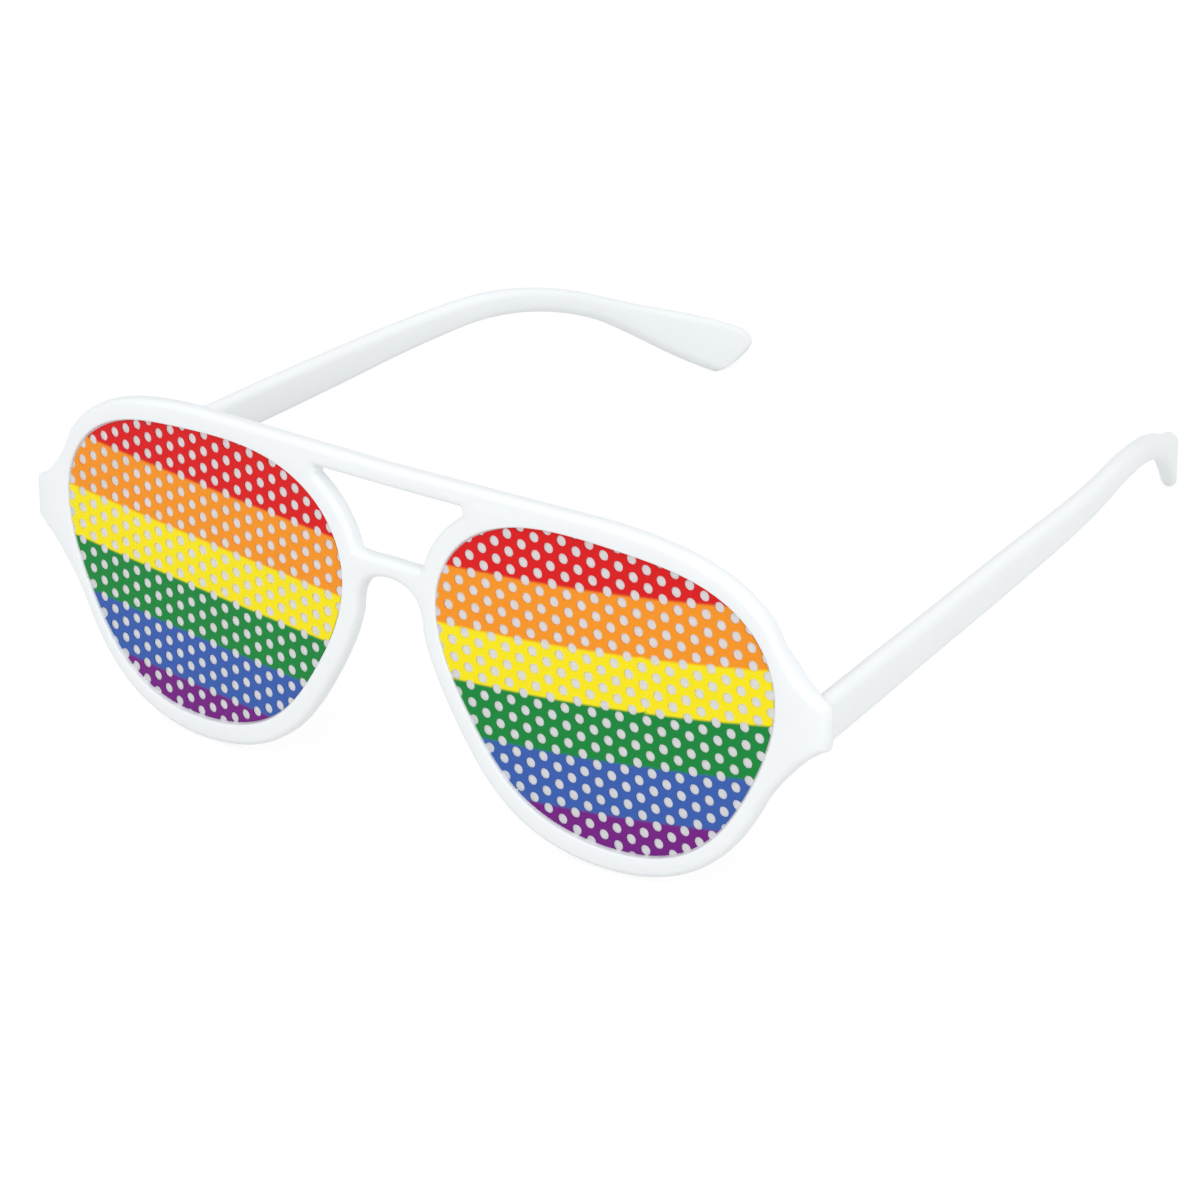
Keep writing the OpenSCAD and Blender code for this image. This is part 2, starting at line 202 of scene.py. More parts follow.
def front_to_table():
    """The front's own frame on the table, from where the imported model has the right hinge."""
    joint = JOINTS["fold_right"]
    front = sidebar("front")
    lean = math.atan2(joint["axis"][1], joint["axis"][2])
    turn = Matrix.Rotation(-lean, 4, "X")
    own = Vector((joint["pos_m"][0], front.end_back + HINGE_BEHIND, front.end_z))
    return Matrix.Translation(Vector(joint["pos_m"]) - turn @ own) @ turn


def bow_depth(x):
    """Depth of the front's curved face at x."""
    radius = sidebar("front").bow
    return radius - math.sqrt(radius * radius - x * x)


def mirrored(side):
    """Takes a place on the right to the given side."""
    return Matrix.Scale(-1, 4, (1, 0, 0)) if side < 0 else Matrix.Identity(4)


def lens_place(side):
    """The place of a lens, flat against the middle of its opening, with u outwards, v up and w back."""
    half = sidebar("lens").pitch / 2
    turn = math.asin(half / sidebar("front").bow)
    at = Matrix.Translation((half, bow_depth(half), 0)) @ Matrix.Rotation(turn, 4, "Z")
    return front_to_table() @ mirrored(side) @ at @ DRAWING


def temple_place(side):
    """The place of an open temple, with its hinge axis at x = y = 0 and z up."""
    turn = front_to_table().to_3x3().to_4x4()
    at = Matrix.Translation(JOINTS["fold_right"]["pos_m"]) @ turn
    return mirrored(side) @ at @ Matrix.Rotation(sidebar("temple").lean, 4, "Z")


# Outline of the front


def opening_radius(turn):
    """Radius of the right lens opening at an angle from its outer side."""
    lens = sidebar("lens")
    return (lens.radius - lens.sink * math.sin(turn) + lens.wide * math.cos(2 * turn)
            - lens.lean * math.sin(2 * turn) + lens.pear * math.sin(3 * turn) - lens.flat * math.cos(4 * turn)
            + lens.square * math.sin(5 * turn))


def opening_ring(extra=0.0, points=144):
    """The right opening, or a line that far outside it, as seen from the front."""
    turns = [2 * math.pi * i / points for i in range(points)]
    return [((opening_radius(t) + extra) * math.cos(t), (opening_radius(t) + extra) * math.sin(t))
            for t in turns]


# How far the rim's swelling and its widest place at the nose are turned from level
SWELL_TURN, NOSE_TURN = math.radians(33), math.radians(20)


def rim_point(degrees):
    """A point of the right rim's outer edge, at an angle from its outer side."""
    front = sidebar("front")
    turn = math.radians(degrees)
    swell = math.cos(2 * turn + SWELL_TURN)
    nose = max(0.0, -math.cos(turn + NOSE_TURN)) ** 4
    reach = opening_radius(turn) + front.rim - front.rim_swell * swell + front.rim_nose * nose
    return (reach * math.cos(turn) + sidebar("lens").pitch / 2, reach * math.sin(turn))


def rim_arc(start, end, step=2.5):
    """A stretch of the rim's outer edge from one angle to another, in degrees."""
    count = round(abs(end - start) / step)
    return [rim_point(start + (end - start) * i / count) for i in range(count + 1)]


def bow_line(start, middle, end, count=10):
    """A curve that leaves start and arrives at end along the middle point."""
    line = []
    for i in range(count + 1):
        t = i / count
        line.append(tuple(a * (1 - t) ** 2 + 2 * m * t * (1 - t) + b * t * t
                          for a, m, b in zip(start, middle, end)))
    return line


def flipped(line):
    """The same line on the other side of the middle, in the opposite order."""
    return [(-x, z) for x, z in reversed(line)]


# Where the bar, the endpiece and the nose arch meet the rim, in degrees round it
BAR_AT, END_TOP_AT, END_LOW_AT = 100, 34, -28
ARCH_LOW_AT, ARCH_TOP_AT, BAR_LOW_AT = -178, -199, -221


def brow_top():
    """Height of the top bar's upper edge."""
    return rim_point(BAR_AT)[1]


def front_outline():
    """The outer outline of the front, anticlockwise from the middle of the top bar."""
    front = sidebar("front")
    corner, least, past = 0.9 * MM, 0.15 * MM, 5
    bevel = corner * 0.3
    out = front.width / 2
    top, low = front.end_z + front.end_h / 2, front.end_z - front.end_h / 2
    waist = (rim_point(0)[0] + out) / 2 - 2.4 * MM
    over, under = (waist, top + 2.2 * MM), (waist, low - 2.6 * MM)
    foot = rim_point(ARCH_LOW_AT - 4)
    half = [(0, brow_top())] + rim_arc(BAR_AT, END_TOP_AT)
    half += bow_line(rim_point(END_TOP_AT - past), over, (out - corner, top))
    half += [(out - bevel, top - bevel), (out, top - corner), (out, low + corner), (out - bevel, low + bevel)]
    half += bow_line((out - corner, low), under, rim_point(END_LOW_AT + past))
    half += rim_arc(END_LOW_AT, ARCH_LOW_AT)
    half += bow_line(foot, (foot[0], front.arch_z), (0, front.arch_z), 14)
    # The right half runs clockwise, so the whole loop is turned round
    return spaced((half + flipped(half)[1:-1])[::-1], least)


def bar_window():
    """The gap between the top bar and the nose arch, clockwise."""
    front = sidebar("front")
    low_edge = brow_top() - front.brow
    saddle = front.arch_z + front.arch_thick
    half = [(0, low_edge), (rim_point(BAR_LOW_AT)[0], low_edge)] + rim_arc(BAR_LOW_AT, ARCH_TOP_AT)
    crest, sag, corner = 3.4 * MM, 0.1 * MM, 0.55 * MM
    half += bow_line((crest, saddle - sag), (crest / 2, saddle), (0, saddle), 4)
    return rounded_corners(half + flipped(half)[1:-1], corner)


def spaced(loop, least):
    """The loop without points that nearly touch the one before."""
    kept = [loop[0]]
    for point in loop[1:]:
        if math.dist(point, kept[-1]) > least:
            kept.append(point)
    return kept if math.dist(kept[0], kept[-1]) > least else kept[:-1]


def corners(loop):
    """Each point of a loop, between the one before and the one after."""
    return zip(loop[-1:] + loop[:-1], loop, loop[1:] + loop[:1])


def heading(start, end):
    """The way from one point to another, with a length of one."""
    return (Vector(end) - Vector(start)).normalized()


def rounded_corners(loop, radius, sharp=math.radians(35), most=0.45):
    """The loop with an arc in place of each sharp corner, which takes at most that share of a side."""
    made = []
    for before, here, after in corners(spaced(loop, 0.1 * MM)):
        a, b = heading(here, before), heading(here, after)
        opening = a.angle(b)
        if math.pi - opening < sharp:
            made.append(here)
            continue
        room = most * min(math.dist(before, here), math.dist(after, here))
        reach = min(radius / math.tan(opening / 2), room)
        made += bow_line(Vector(here) + a * reach, here, Vector(here) + b * reach, 6)
    return made


# Meshes of rounded plates


def left_normals(loop, sharpest=0.6):
    """At each point of a loop, the way into the material on its left, long enough to mitre the corner."""
    made = []
    for before, here, after in corners(loop):
        a, b = heading(before, here), heading(here, after)
        normal = Vector((-a.y - b.y, a.x + b.x)).normalized()
        cosine = max(sharpest, normal.dot(Vector((-a.y, a.x))))
        made.append(normal / cosine)
    return made


def inside(point, loops):
    """True where a point lies in the material between the loops."""
    x, z = point
    crossings = False
    for loop in loops:
        for (ax, az), (bx, bz) in zip(loop, loop[1:] + loop[:1]):
            if (az > z) != (bz > z) and x < (bx - ax) * (z - az) / (bz - az) + ax:
                crossings = not crossings
    return crossings


def face_fill(loops, step):
    """Triangles that fill the material between the loops, with a grid of points at that step inside."""
    points = [Vector(p) for loop in loops for p in loop]
    edges, first = [], 0
    for loop in loops:
        edges += [(first + i, first + (i + 1) % len(loop)) for i in range(len(loop))]
        first += len(loop)
    if step:
        xs, zs = zip(*points)
        # The squares of the grid that hold a point of a loop
        taken = {(round(x / step), round(z / step)) for x, z in points}
        for i in range(math.ceil(min(xs) / step), math.floor(max(xs) / step) + 1):
            for j in range(math.ceil(min(zs) / step), math.floor(max(zs) / step) + 1):
                crowded = any((i + di, j + dj) in taken for di in (-1, 0, 1) for dj in (-1, 0, 1))
                if not crowded and inside((i * step, j * step), loops):
                    points.append(Vector((i * step, j * step)))
    made, _, faces, origin, _, _ = delaunay_2d_cdt(points, edges, [], 0, 1e-9)
    index = [found[0] for found in origin]
    kept = []
    for face in faces:
        middle = [sum(made[k][axis] for k in face) / 3 for axis in (0, 1)]
        if inside(middle, loops):
            kept.append([index[k] for k in face])
    return points, kept


def edge_rows(depth, rounding, way, turns):
    """Rows round one edge of a plate, each as how far in it lies and its depth at a point."""
    return [(rounding * (1 - math.cos(t)), lambda x, z, t=t: depth(x, z) + way * rounding * (1 - math.sin(t)))
            for t in turns]


def bridge(bm, row, below):
    """Faces between two closed rows of points."""
    for corner in zip(row, row[1:] + row[:1], below[1:] + below[:1], below):
        bm.faces.new(corner)


def plate_mesh(name, loops, face, back, step=0.0, groove=None):
    """A closed plate with rounded edges. Each loop is (points, face rounding, back rounding, grooved), with
    the material on its left. face and back give the depth at a point. groove gives the groove's depth,
    its front and its back at a point."""
    bm = bmesh.new()
    inner, rims = {"face": [], "back": []}, {"face": [], "back": []}
    turns = [math.radians(a) for a in (90, 72, 54, 36, 18, 0)]
    for points, round_face, round_back, grooved in loops:
        normals = left_normals(points)
        layers = edge_rows(face, round_face, 1, turns)
        if grooved:
            sink, near, far = groove
            layers += [(0, near), (sink, near), (sink, far), (0, far)]
        layers += edge_rows(back, round_back, -1, turns[::-1])
        rows = []
        for reach, depth in layers:
            row = []
            for p, n in zip(points, normals):
                x, z = p[0] + n.x * reach, p[1] + n.y * reach
                row.append(bm.verts.new((x, depth(p[0], p[1]) if reach and grooved else depth(x, z), z)))
            rows.append(row)
        for row, below in zip(rows, rows[1:]):
            bridge(bm, row, below)
        for key, row in (("face", rows[0]), ("back", rows[-1])):
            inner[key].append([(v.co.x, v.co.z) for v in row])
            rims[key] += row
    for key, depth in (("face", face), ("back", back)):
        points, faces = face_fill(inner[key], step)
        verts = rims[key] + [bm.verts.new((p.x, depth(p.x, p.y), p.y)) for p in points[len(rims[key]):]]
        for found in faces:
            bm.faces.new([verts[k] for k in found])
    bmesh.ops.recalc_face_normals(bm, faces=bm.faces)
    return finished(bm, name)


def opened(mesh):
    """A mesh, open for work."""
    bm = bmesh.new()
    bm.from_mesh(mesh)
    return bm


def closed(bm, mesh):
    """The mesh with the work done on it."""
    bm.to_mesh(mesh)
    bm.free()
    return mesh


def finished(bm, name, sharp=math.radians(38)):
    """A new mesh, shaded smooth but for its sharp edges."""
    for face in bm.faces:
        face.smooth = True
    for edge in bm.edges:
        edge.smooth = edge.calc_face_angle(0) < sharp
    return closed(bm, bpy.data.meshes.new(name))


def linked(name, data):
    """A new object of the scene."""
    item = bpy.data.objects.new(name, data)
    bpy.context.scene.collection.objects.link(item)
    return item


def add_piece(name, mesh, material, body, replaced):
    """Links the finished piece, in place, on its body, and hides the node that it stands for."""
    piece = linked(name, mesh)
    mesh.materials.clear()
    mesh.materials.append(bpy.data.materials[material])
    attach(piece, body)
    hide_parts(replaced)


def turn_out(mesh):
    """Turns every face of a closed mesh outwards."""
    bm = opened(mesh)
    bmesh.ops.recalc_face_normals(bm, faces=bm.faces)
    if bm.calc_volume(signed=True) < 0:
        bmesh.ops.reverse_faces(bm, faces=bm.faces)
    closed(bm, mesh)


def place(mesh, matrix):
    """Takes a mesh to its place, with its faces turned outwards."""
    mesh.transform(matrix)
    turn_out(mesh)


def made_by_modifiers(holder):
    """The plain mesh that an object's modifiers make. The object is removed."""
    bpy.context.view_layer.update()
    made = bpy.data.meshes.new_from_object(holder.evaluated_get(bpy.context.evaluated_depsgraph_get()))
    bpy.data.objects.remove(holder)
    return made


def evaluated(mesh, tree, values):
    """The mesh that a Geometry Nodes tree makes from this one."""
    holder = linked(tree.name, mesh)
    modifier = holder.modifiers.new(tree.name, "NODES")
    modifier.node_group = tree
    names = {item.name: item.identifier for item in tree.interface.items_tree if item.in_out == "INPUT"}
    for name, value in values.items():
        modifier[names[name]] = value
    return made_by_modifiers(holder)


def cut_with_box(mesh, low, high):
    """The mesh less a box between two corners."""
    bm = bmesh.new()
    bmesh.ops.create_cube(bm, size=1)
    bmesh.ops.scale(bm, vec=Vector(high) - Vector(low), verts=bm.verts)
    bmesh.ops.translate(bm, vec=(Vector(low) + Vector(high)) / 2, verts=bm.verts)
    cutter = linked("cutter", finished(bm, "cutter"))
    holder = linked("holder", mesh)
    modifier = holder.modifiers.new("Cut", "BOOLEAN")
    modifier.operation, modifier.solver, modifier.object = "DIFFERENCE", "EXACT", cutter
    made = made_by_modifiers(holder)
    bpy.data.objects.remove(cutter)
    return made


# Node trees


class Term:
    """A value in a node tree, with the usual signs for sums, so that a rule reads as one line."""

    def __init__(self, socket):
        self.socket = socket

    def do(self, operation, *others):
        node = add_node(self.socket.id_data, "ShaderNodeMath", operation=operation)
        for socket, value in zip(node.inputs, (self,) + others):
            give(socket, value)
        return Term(node.outputs[0])

    def __rsub__(self, other):
        return (self * -1) + other

    def __rtruediv__(self, other):
        return self.do("POWER", -1.0) * other

    def root(self):
        return self.at_least(0.0).do("SQRT")

    __add__ = __radd__ = partialmethod(do, "ADD")
    __sub__ = partialmethod(do, "SUBTRACT")
    __mul__ = __rmul__ = partialmethod(do, "MULTIPLY")
    __truediv__ = partialmethod(do, "DIVIDE")
    at_least = partialmethod(do, "MAXIMUM")
    at_most = partialmethod(do, "MINIMUM")
    sin = partialmethod(do, "SINE")
    cos = partialmethod(do, "COSINE")


def give(socket, value):
    """Sets an input to a value, or links it to a term or another socket."""
    value = value.socket if isinstance(value, Term) else value
    if isinstance(value, bpy.types.NodeSocket):
        socket.id_data.links.new(value, socket)
    else:
        socket.default_value = value


def add_node(tree, kind, **settings):
    """Adds a node to a tree. A setting is one of its properties, or else what an input is given."""
    node = tree.nodes.new(kind)
    for name, value in settings.items():
        if hasattr(node, name):
            setattr(node, name, value)
    for name, value in settings.items():
        if not hasattr(node, name):
            give(node.inputs[name.replace("_", " ")], value)
    return node


def new_tree(name, inputs):
    """A Geometry Nodes tree with named inputs, given as name and kind, and the function that reads one."""
    tree = bpy.data.node_groups.new(name, "GeometryNodeTree")
    tree.is_modifier = True
    tree.interface.new_socket(name="Geometry", in_out="OUTPUT", socket_type="NodeSocketGeometry")
    for item, kind in {"Geometry": "Geometry", **inputs, "Material": "Material"}.items():
        tree.interface.new_socket(name=item, in_out="INPUT", socket_type="NodeSocket" + kind)
    given = tree.nodes.new("NodeGroupInput")
    return tree, lambda item: Term(given.outputs[item])


def finish_tree(tree, value, socket):
    """Ends a tree in Realize Instances and Set Material."""
    real = add_node(tree, "GeometryNodeRealizeInstances", Geometry=socket)
    paint = add_node(tree, "GeometryNodeSetMaterial", Geometry=real.outputs[0], Material=value("Material"))
    add_node(tree, "NodeGroupOutput", Geometry=paint.outputs[0])
    return tree


# Columns enough to cover a film, and the sides of a pinhole
COLUMNS, HOLE_SIDES = 27, 20
# A pinhole whose middle lies further outside the film than this share of its width is left out
HOLE_PAST_EDGE = 0.4


def perforation_tree():
    """Punches pinholes in staggered columns through a film that lies flat, along z."""
    tree, value = new_tree("Perforate film", {"Pitch": "Float", "Hole": "Float", "Slope": "Float",
                                              "Depth": "Float", "Columns": "Int", "Sides": "Int"})
    film = value("Geometry")
    column = value("Pitch") * math.cos(math.radians(30))
    reach = value("Columns") - 1
    grid = add_node(tree, "GeometryNodeMeshGrid", Size_X=reach * column, Size_Y=reach * value("Pitch"),
                    Vertices_X=value("Columns"), Vertices_Y=value("Columns"))
    # Every other column is shifted by half a pitch
    where = add_node(tree, "GeometryNodeInputPosition")
    split = add_node(tree, "ShaderNodeSeparateXYZ", Vector=where.outputs[0])
    odd = (Term(split.outputs["X"]) / column).do("ROUND").do("FLOORED_MODULO", 2.0)
    shift = add_node(tree, "ShaderNodeCombineXYZ", Y=odd * value("Pitch") * 0.5)
    stagger = add_node(tree, "GeometryNodeSetPosition", Geometry=grid.outputs["Mesh"],
                       Offset=shift.outputs[0])
    slope, depth = (add_node(tree, "ShaderNodeCombineXYZ", Z=value(name)) for name in ("Slope", "Depth"))
    sloped = add_node(tree, "GeometryNodeTransform", Geometry=stagger.outputs[0],
                      Translation=depth.outputs[0], Rotation=slope.outputs[0])
    # Holes that would miss the film are dropped, and those on its edge are cut by it
    near = add_node(tree, "GeometryNodeProximity", target_element="FACES", Geometry=film)
    away = Term(near.outputs["Distance"]).do("GREATER_THAN", value("Hole") * HOLE_PAST_EDGE)
    kept = add_node(tree, "GeometryNodeDeleteGeometry", Geometry=sloped.outputs[0], Selection=away)
    punch = add_node(tree, "GeometryNodeMeshCylinder", Vertices=value("Sides"), Radius=value("Hole") * 0.5,
                     Depth=value("Hole"))
    punches = add_node(tree, "GeometryNodeInstanceOnPoints", Points=kept.outputs[0],
                       Instance=punch.outputs["Mesh"])
    real = add_node(tree, "GeometryNodeRealizeInstances", Geometry=punches.outputs[0])
    cut = add_node(tree, "GeometryNodeMeshBoolean", operation="DIFFERENCE", solver="EXACT", Mesh_1=film,
                   Mesh_2=real.outputs[0])
    return finish_tree(tree, value, cut.outputs["Mesh"])


# The tree's inputs, and the sizes in the sidebar that they take
TEMPLE_SIZES = {
    "Thickness": "thick", "Hinge height": "hinge_h", "Shaft height": "shaft_h", "Neck height": "neck_h",
    "Paddle height": "paddle_h", "Shaft": "shaft", "Bend": "bend", "Tip": "tip", "Rise": "rise",
    "Drop": "drop", "Straight side": "side", "Head": "head", "Butt": "butt", "Tallest at": "tall_at",
    "Narrowest at": "neck_at", "End roundness": "end_round", "End slant": "end_slant"}
# The share of the rings that makes the rounded end, and the distance at which points are one
CAP_SHARE, WELD = 0.14, 1e-6


def temple_tree():
    """A temple round its hinge axis, swept along its line: shaft, ear bend, tip and rounded end."""
    tree, value = new_tree("Sweep temple", {**dict.fromkeys((*TEMPLE_SIZES, "Middle"), "Float"),
                                            "Rings": "Int", "Sides": "Int"})
    shaft, radius, tip, rise, drop = map(value, ("Shaft", "Bend", "Tip", "Rise", "Drop"))
    hinge_h, shaft_h, neck_h, paddle_h = map(
        value, ("Hinge height", "Shaft height", "Neck height", "Paddle height"))
    butt, head, roundness = map(value, ("Butt", "Head", "End roundness"))

    def ease(term):
        return (1 - (term.at_least(0.0).at_most(1.0) * math.pi).cos()) * 0.5

    grid = add_node(tree, "GeometryNodeMeshGrid", Vertices_X=value("Rings"), Vertices_Y=value("Sides"))
    split = add_node(tree, "ShaderNodeSeparateXYZ", Vector=grid.outputs["UV Map"])
    ring = (Term(split.outputs["X"]) * (value("Rings") - 1)).do("ROUND")
    # Starts half a step round, so that the seam's two rows of points lie on each other
    around = Term(split.outputs["Y"]) * (2 * math.pi) + math.pi / (value("Sides") - 1)
    # The first ring is drawn in to a point, which closes the flat end at the hinge
    open_end = ring.at_most(1.0)
    along = (ring - 1).at_least(0.0) / (value("Rings") - 2)
    bend = radius * (rise + drop)
    whole = shaft + bend + tip
    s = (along / (1 - CAP_SHARE)).at_most(1.0) * (whole + butt) - butt
    cap = (1 - ((along - (1 - CAP_SHARE)) / CAP_SHARE).at_least(0.0)) * (math.pi / 2)
    # Where the line runs, measured back and up from the hinge axis
    on_shaft = s.at_most(shaft)
    on_bend = (s - shaft).at_least(0.0).at_most(bend)
    on_tip = (s - shaft - bend).at_least(0.0)
    slope = rise - on_bend / radius
    back = on_shaft * rise.cos() + radius * (rise.sin() - slope.sin()) + on_tip * drop.cos()
    up = on_shaft * rise.sin() + radius * (slope.cos() - rise.cos()) - on_tip * drop.sin()
    # How tall it is there
    tall_at = value("Tallest at") * shaft
    neck_at = shaft + value("Narrowest at") * bend
    tall = (hinge_h + (shaft_h - hinge_h) * ease(s / tall_at)
            + (neck_h - shaft_h) * ease((s - tall_at) / (neck_at - tall_at))
            + (paddle_h - neck_h) * ease((s - neck_at) / (whole - neck_at))) * 0.5
    # The section has half-round edges above and below
    half = value("Thickness") * 0.5
    now = tall * cap.sin()
    straight = (now - half).at_least(0.0)
    edge = now.at_most(half)
    high = (around.sin().do("SIGN") * straight + around.sin() * edge) * open_end
    left = (roundness * tall * (1 - cap.cos())) / half
    fade = (1 - (1 - left.at_most(1.0)) * (1 - left.at_most(1.0))).root()
    wide = half * around.cos() * fade * open_end
    reach = (roundness * tall + value("End slant") * high) * cap.cos()
    y = back - high * slope.sin() + reach * slope.cos()
    z = up + high * slope.cos() + reach * slope.sin()
    past = (y - value("Straight side")).at_least(0.0)
    x = value("Middle") + wide - head + (head * head - past * past).root()
    spot = add_node(tree, "ShaderNodeCombineXYZ", X=x, Y=y, Z=z)
    sweep = add_node(tree, "GeometryNodeSetPosition", Geometry=grid.outputs["Mesh"],
                     Position=spot.outputs[0])
    weld = add_node(tree, "GeometryNodeMergeByDistance", Geometry=sweep.outputs[0], Distance=WELD)
    return finish_tree(tree, value, weld.outputs[0])


# Materials


def moulded_group():
    """Moulded plastic: a faint waviness, a fine grain and patches of more and less gloss."""
    tree = bpy.data.node_groups.new("Moulded skin", "ShaderNodeTree")
    for name, value in (("Gloss", 0.3), ("Patches", 0.08), ("Grain", 1.0)):
        socket = tree.interface.new_socket(name=name, in_out="INPUT", socket_type="NodeSocketFloat")
        socket.default_value = value
    for name in ("Roughness", "Height", "Tone"):
        tree.interface.new_socket(name=name, in_out="OUTPUT", socket_type="NodeSocketFloat")
    given = tree.nodes.new("NodeGroupInput")
    spot = tree.nodes.new("ShaderNodeTexCoord").outputs["Object"]

    def noise(scale, detail):
        node = add_node(tree, "ShaderNodeTexNoise", Vector=spot, Scale=scale, Detail=detail)
        return Term(node.outputs["Fac"])

    wave, grain, patch = noise(90.0, 2.0), noise(2600.0, 2.0), noise(210.0, 5.0) - 0.5
    gloss, patches, grain_height = (Term(given.outputs[name]) for name in ("Gloss", "Patches", "Grain"))
    # The grain's height beside the waviness's, and how much the waviness changes the tone
    grain_share, tone_share = 0.12, 0.03
    add_node(tree, "NodeGroupOutput", Roughness=gloss + patch * patches,
             Height=grain * grain_height * grain_share + wave, Tone=1 + (wave - 0.5) * tone_share)


def new_material(name):
    """The shader of a new material."""
    material = bpy.data.materials.new(name)
    material.use_nodes = True
    return material.node_tree.nodes["Principled BSDF"]


def surface(shader, roughness, height, strength, distance):
    """Gives a shader its roughness and its bump."""
    relief = add_node(shader.id_data, "ShaderNodeBump", Height=height, Strength=strength, Distance=distance)
    give(shader.inputs["Roughness"], roughness)
    give(shader.inputs["Normal"], relief.outputs[0])


def skin(shader, gloss, patches, grain, bump):
    """Gives a shader the moulded skin's roughness and bump, and returns its tone."""
    group = add_node(shader.id_data, "ShaderNodeGroup", node_tree=bpy.data.node_groups["Moulded skin"],
                     Gloss=gloss, Patches=patches, Grain=grain)
    surface(shader, group.outputs["Roughness"], group.outputs["Height"], bump, distance=0.1 * MM)
    return group.outputs["Tone"]


def tint(shader, shade, tone):
    """Gives a shader a colour made lighter and darker by a tone near one."""
    scale = add_node(shader.id_data, "ShaderNodeVectorMath", operation="SCALE", Vector=shade, Scale=tone)
    give(shader.inputs["Base Color"], scale.outputs[0])


def white_plastic():
    """Smooth white plastic of the front and temples."""
    shader = new_material("white_moulded_plastic")
    tone = skin(shader, gloss=0.36, patches=0.1, grain=0.7, bump=0.12)
    tint(shader, sidebar("look").white, tone)
    shader.inputs["IOR"].default_value = 1.46
    shader.inputs["Specular IOR Level"].default_value = 0.4


def clear_lens():
    """Polished acrylic, a little cloudy, which shows pale in the pinholes."""
    shader = new_material("clear_lens_acrylic")
    tone = skin(shader, gloss=0.16, patches=0.08, grain=0.3, bump=0.05)
    tint(shader, sidebar("look").clear, tone)
    shader.inputs["Transmission Weight"].default_value = 0.3
    shader.inputs["IOR"].default_value = 1.49


def striped_film():
    """Six plain stripes across the film, read from the film's own print map."""
    look, film = sidebar("look"), sidebar("film")
    shader = new_material("striped_vinyl_film")
    tree = shader.id_data
    tone = skin(shader, gloss=0.42, patches=0.12, grain=1.0, bump=0.15)
    uv = add_node(tree, "ShaderNodeUVMap", uv_map="print")
    split = add_node(tree, "ShaderNodeSeparateXYZ", Vector=uv.outputs[0])
    ramp = add_node(tree, "ShaderNodeValToRGB", Fac=split.outputs["Y"])
    stops = ramp.color_ramp.elements
    colours = [(*getattr(look, name), 1) for name in reversed(STRIPES)]
    # Half the width of the soft edge between two stripes, and how far the taller one moves the top edge
    blur = 0.004
    taller = film.orange / (film.stripe_right * len(STRIPES))
    stops[0].position, stops[0].color = 0.0, colours[0]
    stops[1].position, stops[1].color = 1.0, colours[-1]
    for i in range(1, len(colours)):
        edge = i / len(colours) + (taller if i == len(colours) - 1 else 0)
        stops.new(edge - blur).color = colours[i - 1]
        stops.new(edge + blur).color = colours[i]
    tint(shader, ramp.outputs[0], tone)
    shader.inputs["Specular IOR Level"].default_value = 0.15


def hinge_steel(turned):
    """Nickel-plated steel, with the marks of the lathe on what is turned and straight lines elsewhere."""
    shader = new_material("turned_screw_steel" if turned else "brushed_leaf_steel")
    tree = shader.id_data
    spot = tree.nodes.new("ShaderNodeTexCoord").outputs["Object"]
    stretch = add_node(tree, "ShaderNodeMapping", Vector=spot, Scale=(300, 300, 6000 if turned else 4000))
    lines = add_node(tree, "ShaderNodeTexNoise", Vector=stretch.outputs[0], Scale=1.0, Detail=4.0)
    fac = Term(lines.outputs["Fac"])
    # Roughness from 0.22 to 0.44, and a tone from 0.88 to 1.12
    roughness, tone = 0.22 + fac * 0.22, 0.88 + fac * 0.24
    surface(shader, roughness, fac, strength=0.2, distance=0.02 * MM)
    tint(shader, sidebar("look").steel, tone)
    shader.inputs["Metallic"].default_value = 1.0


def camera_axes():
    """The ways right, up and back to the camera in the picture, in the front's own frame."""
    look = sidebar("look")
    az, el = look.azimuth, look.elevation
    back = Vector((math.sin(az) * math.cos(el), -math.cos(az) * math.cos(el), math.sin(el)))
    right = Vector((math.cos(az), math.sin(az), 0))
    up = back.cross(right)
    c, s = math.cos(look.roll), math.sin(look.roll)
    return c * right + s * up, c * up - s * right, back


def end_in_mix(kind, rays, plain, shown):
    """Ends a tree in one shader, or in another for what the camera sees and for these rays."""
    tree = plain.id_data
    path = tree.nodes.new("ShaderNodeLightPath")
    seen = Term(path.outputs["Is Camera Ray"])
    for ray in rays:
        seen = seen.at_least(Term(path.outputs[f"Is {ray} Ray"]))
    mix = tree.nodes.new("ShaderNodeMixShader")
    for socket, value in zip(mix.inputs, (seen, plain.outputs[0], shown.outputs[0])):
        give(socket, value)
    add_node(tree, kind, Surface=mix.outputs[0])


# The floor's grey in its bounced light, how much of it shades, and how bright a white floor is lit
FLOOR_BOUNCE, FLOOR_SHADE, FLOOR_LIGHT = 0.7, 0.2, 0.8


def floor_material():
    """A floor that shows pure white and keeps only a share of the object's shadow."""
    material = bpy.data.materials.new("pale_floor")
    material.use_nodes = True
    tree = material.node_tree
    tree.nodes.clear()
    bounce = add_node(tree, "ShaderNodeBsdfDiffuse", Color=(*[FLOOR_BOUNCE] * 3, 1))
    shade = add_node(tree, "ShaderNodeBsdfDiffuse", Color=(*[FLOOR_SHADE] * 3, 1))
    glow = add_node(tree, "ShaderNodeEmission", Strength=1.0 - FLOOR_SHADE * FLOOR_LIGHT)
    both = tree.nodes.new("ShaderNodeAddShader")
    give(both.inputs[0], shade.outputs[0])
    give(both.inputs[1], glow.outputs[0])
    end_in_mix("ShaderNodeOutputMaterial", ("Glossy", "Transmission"), bounce, both)
    return material


# Operators


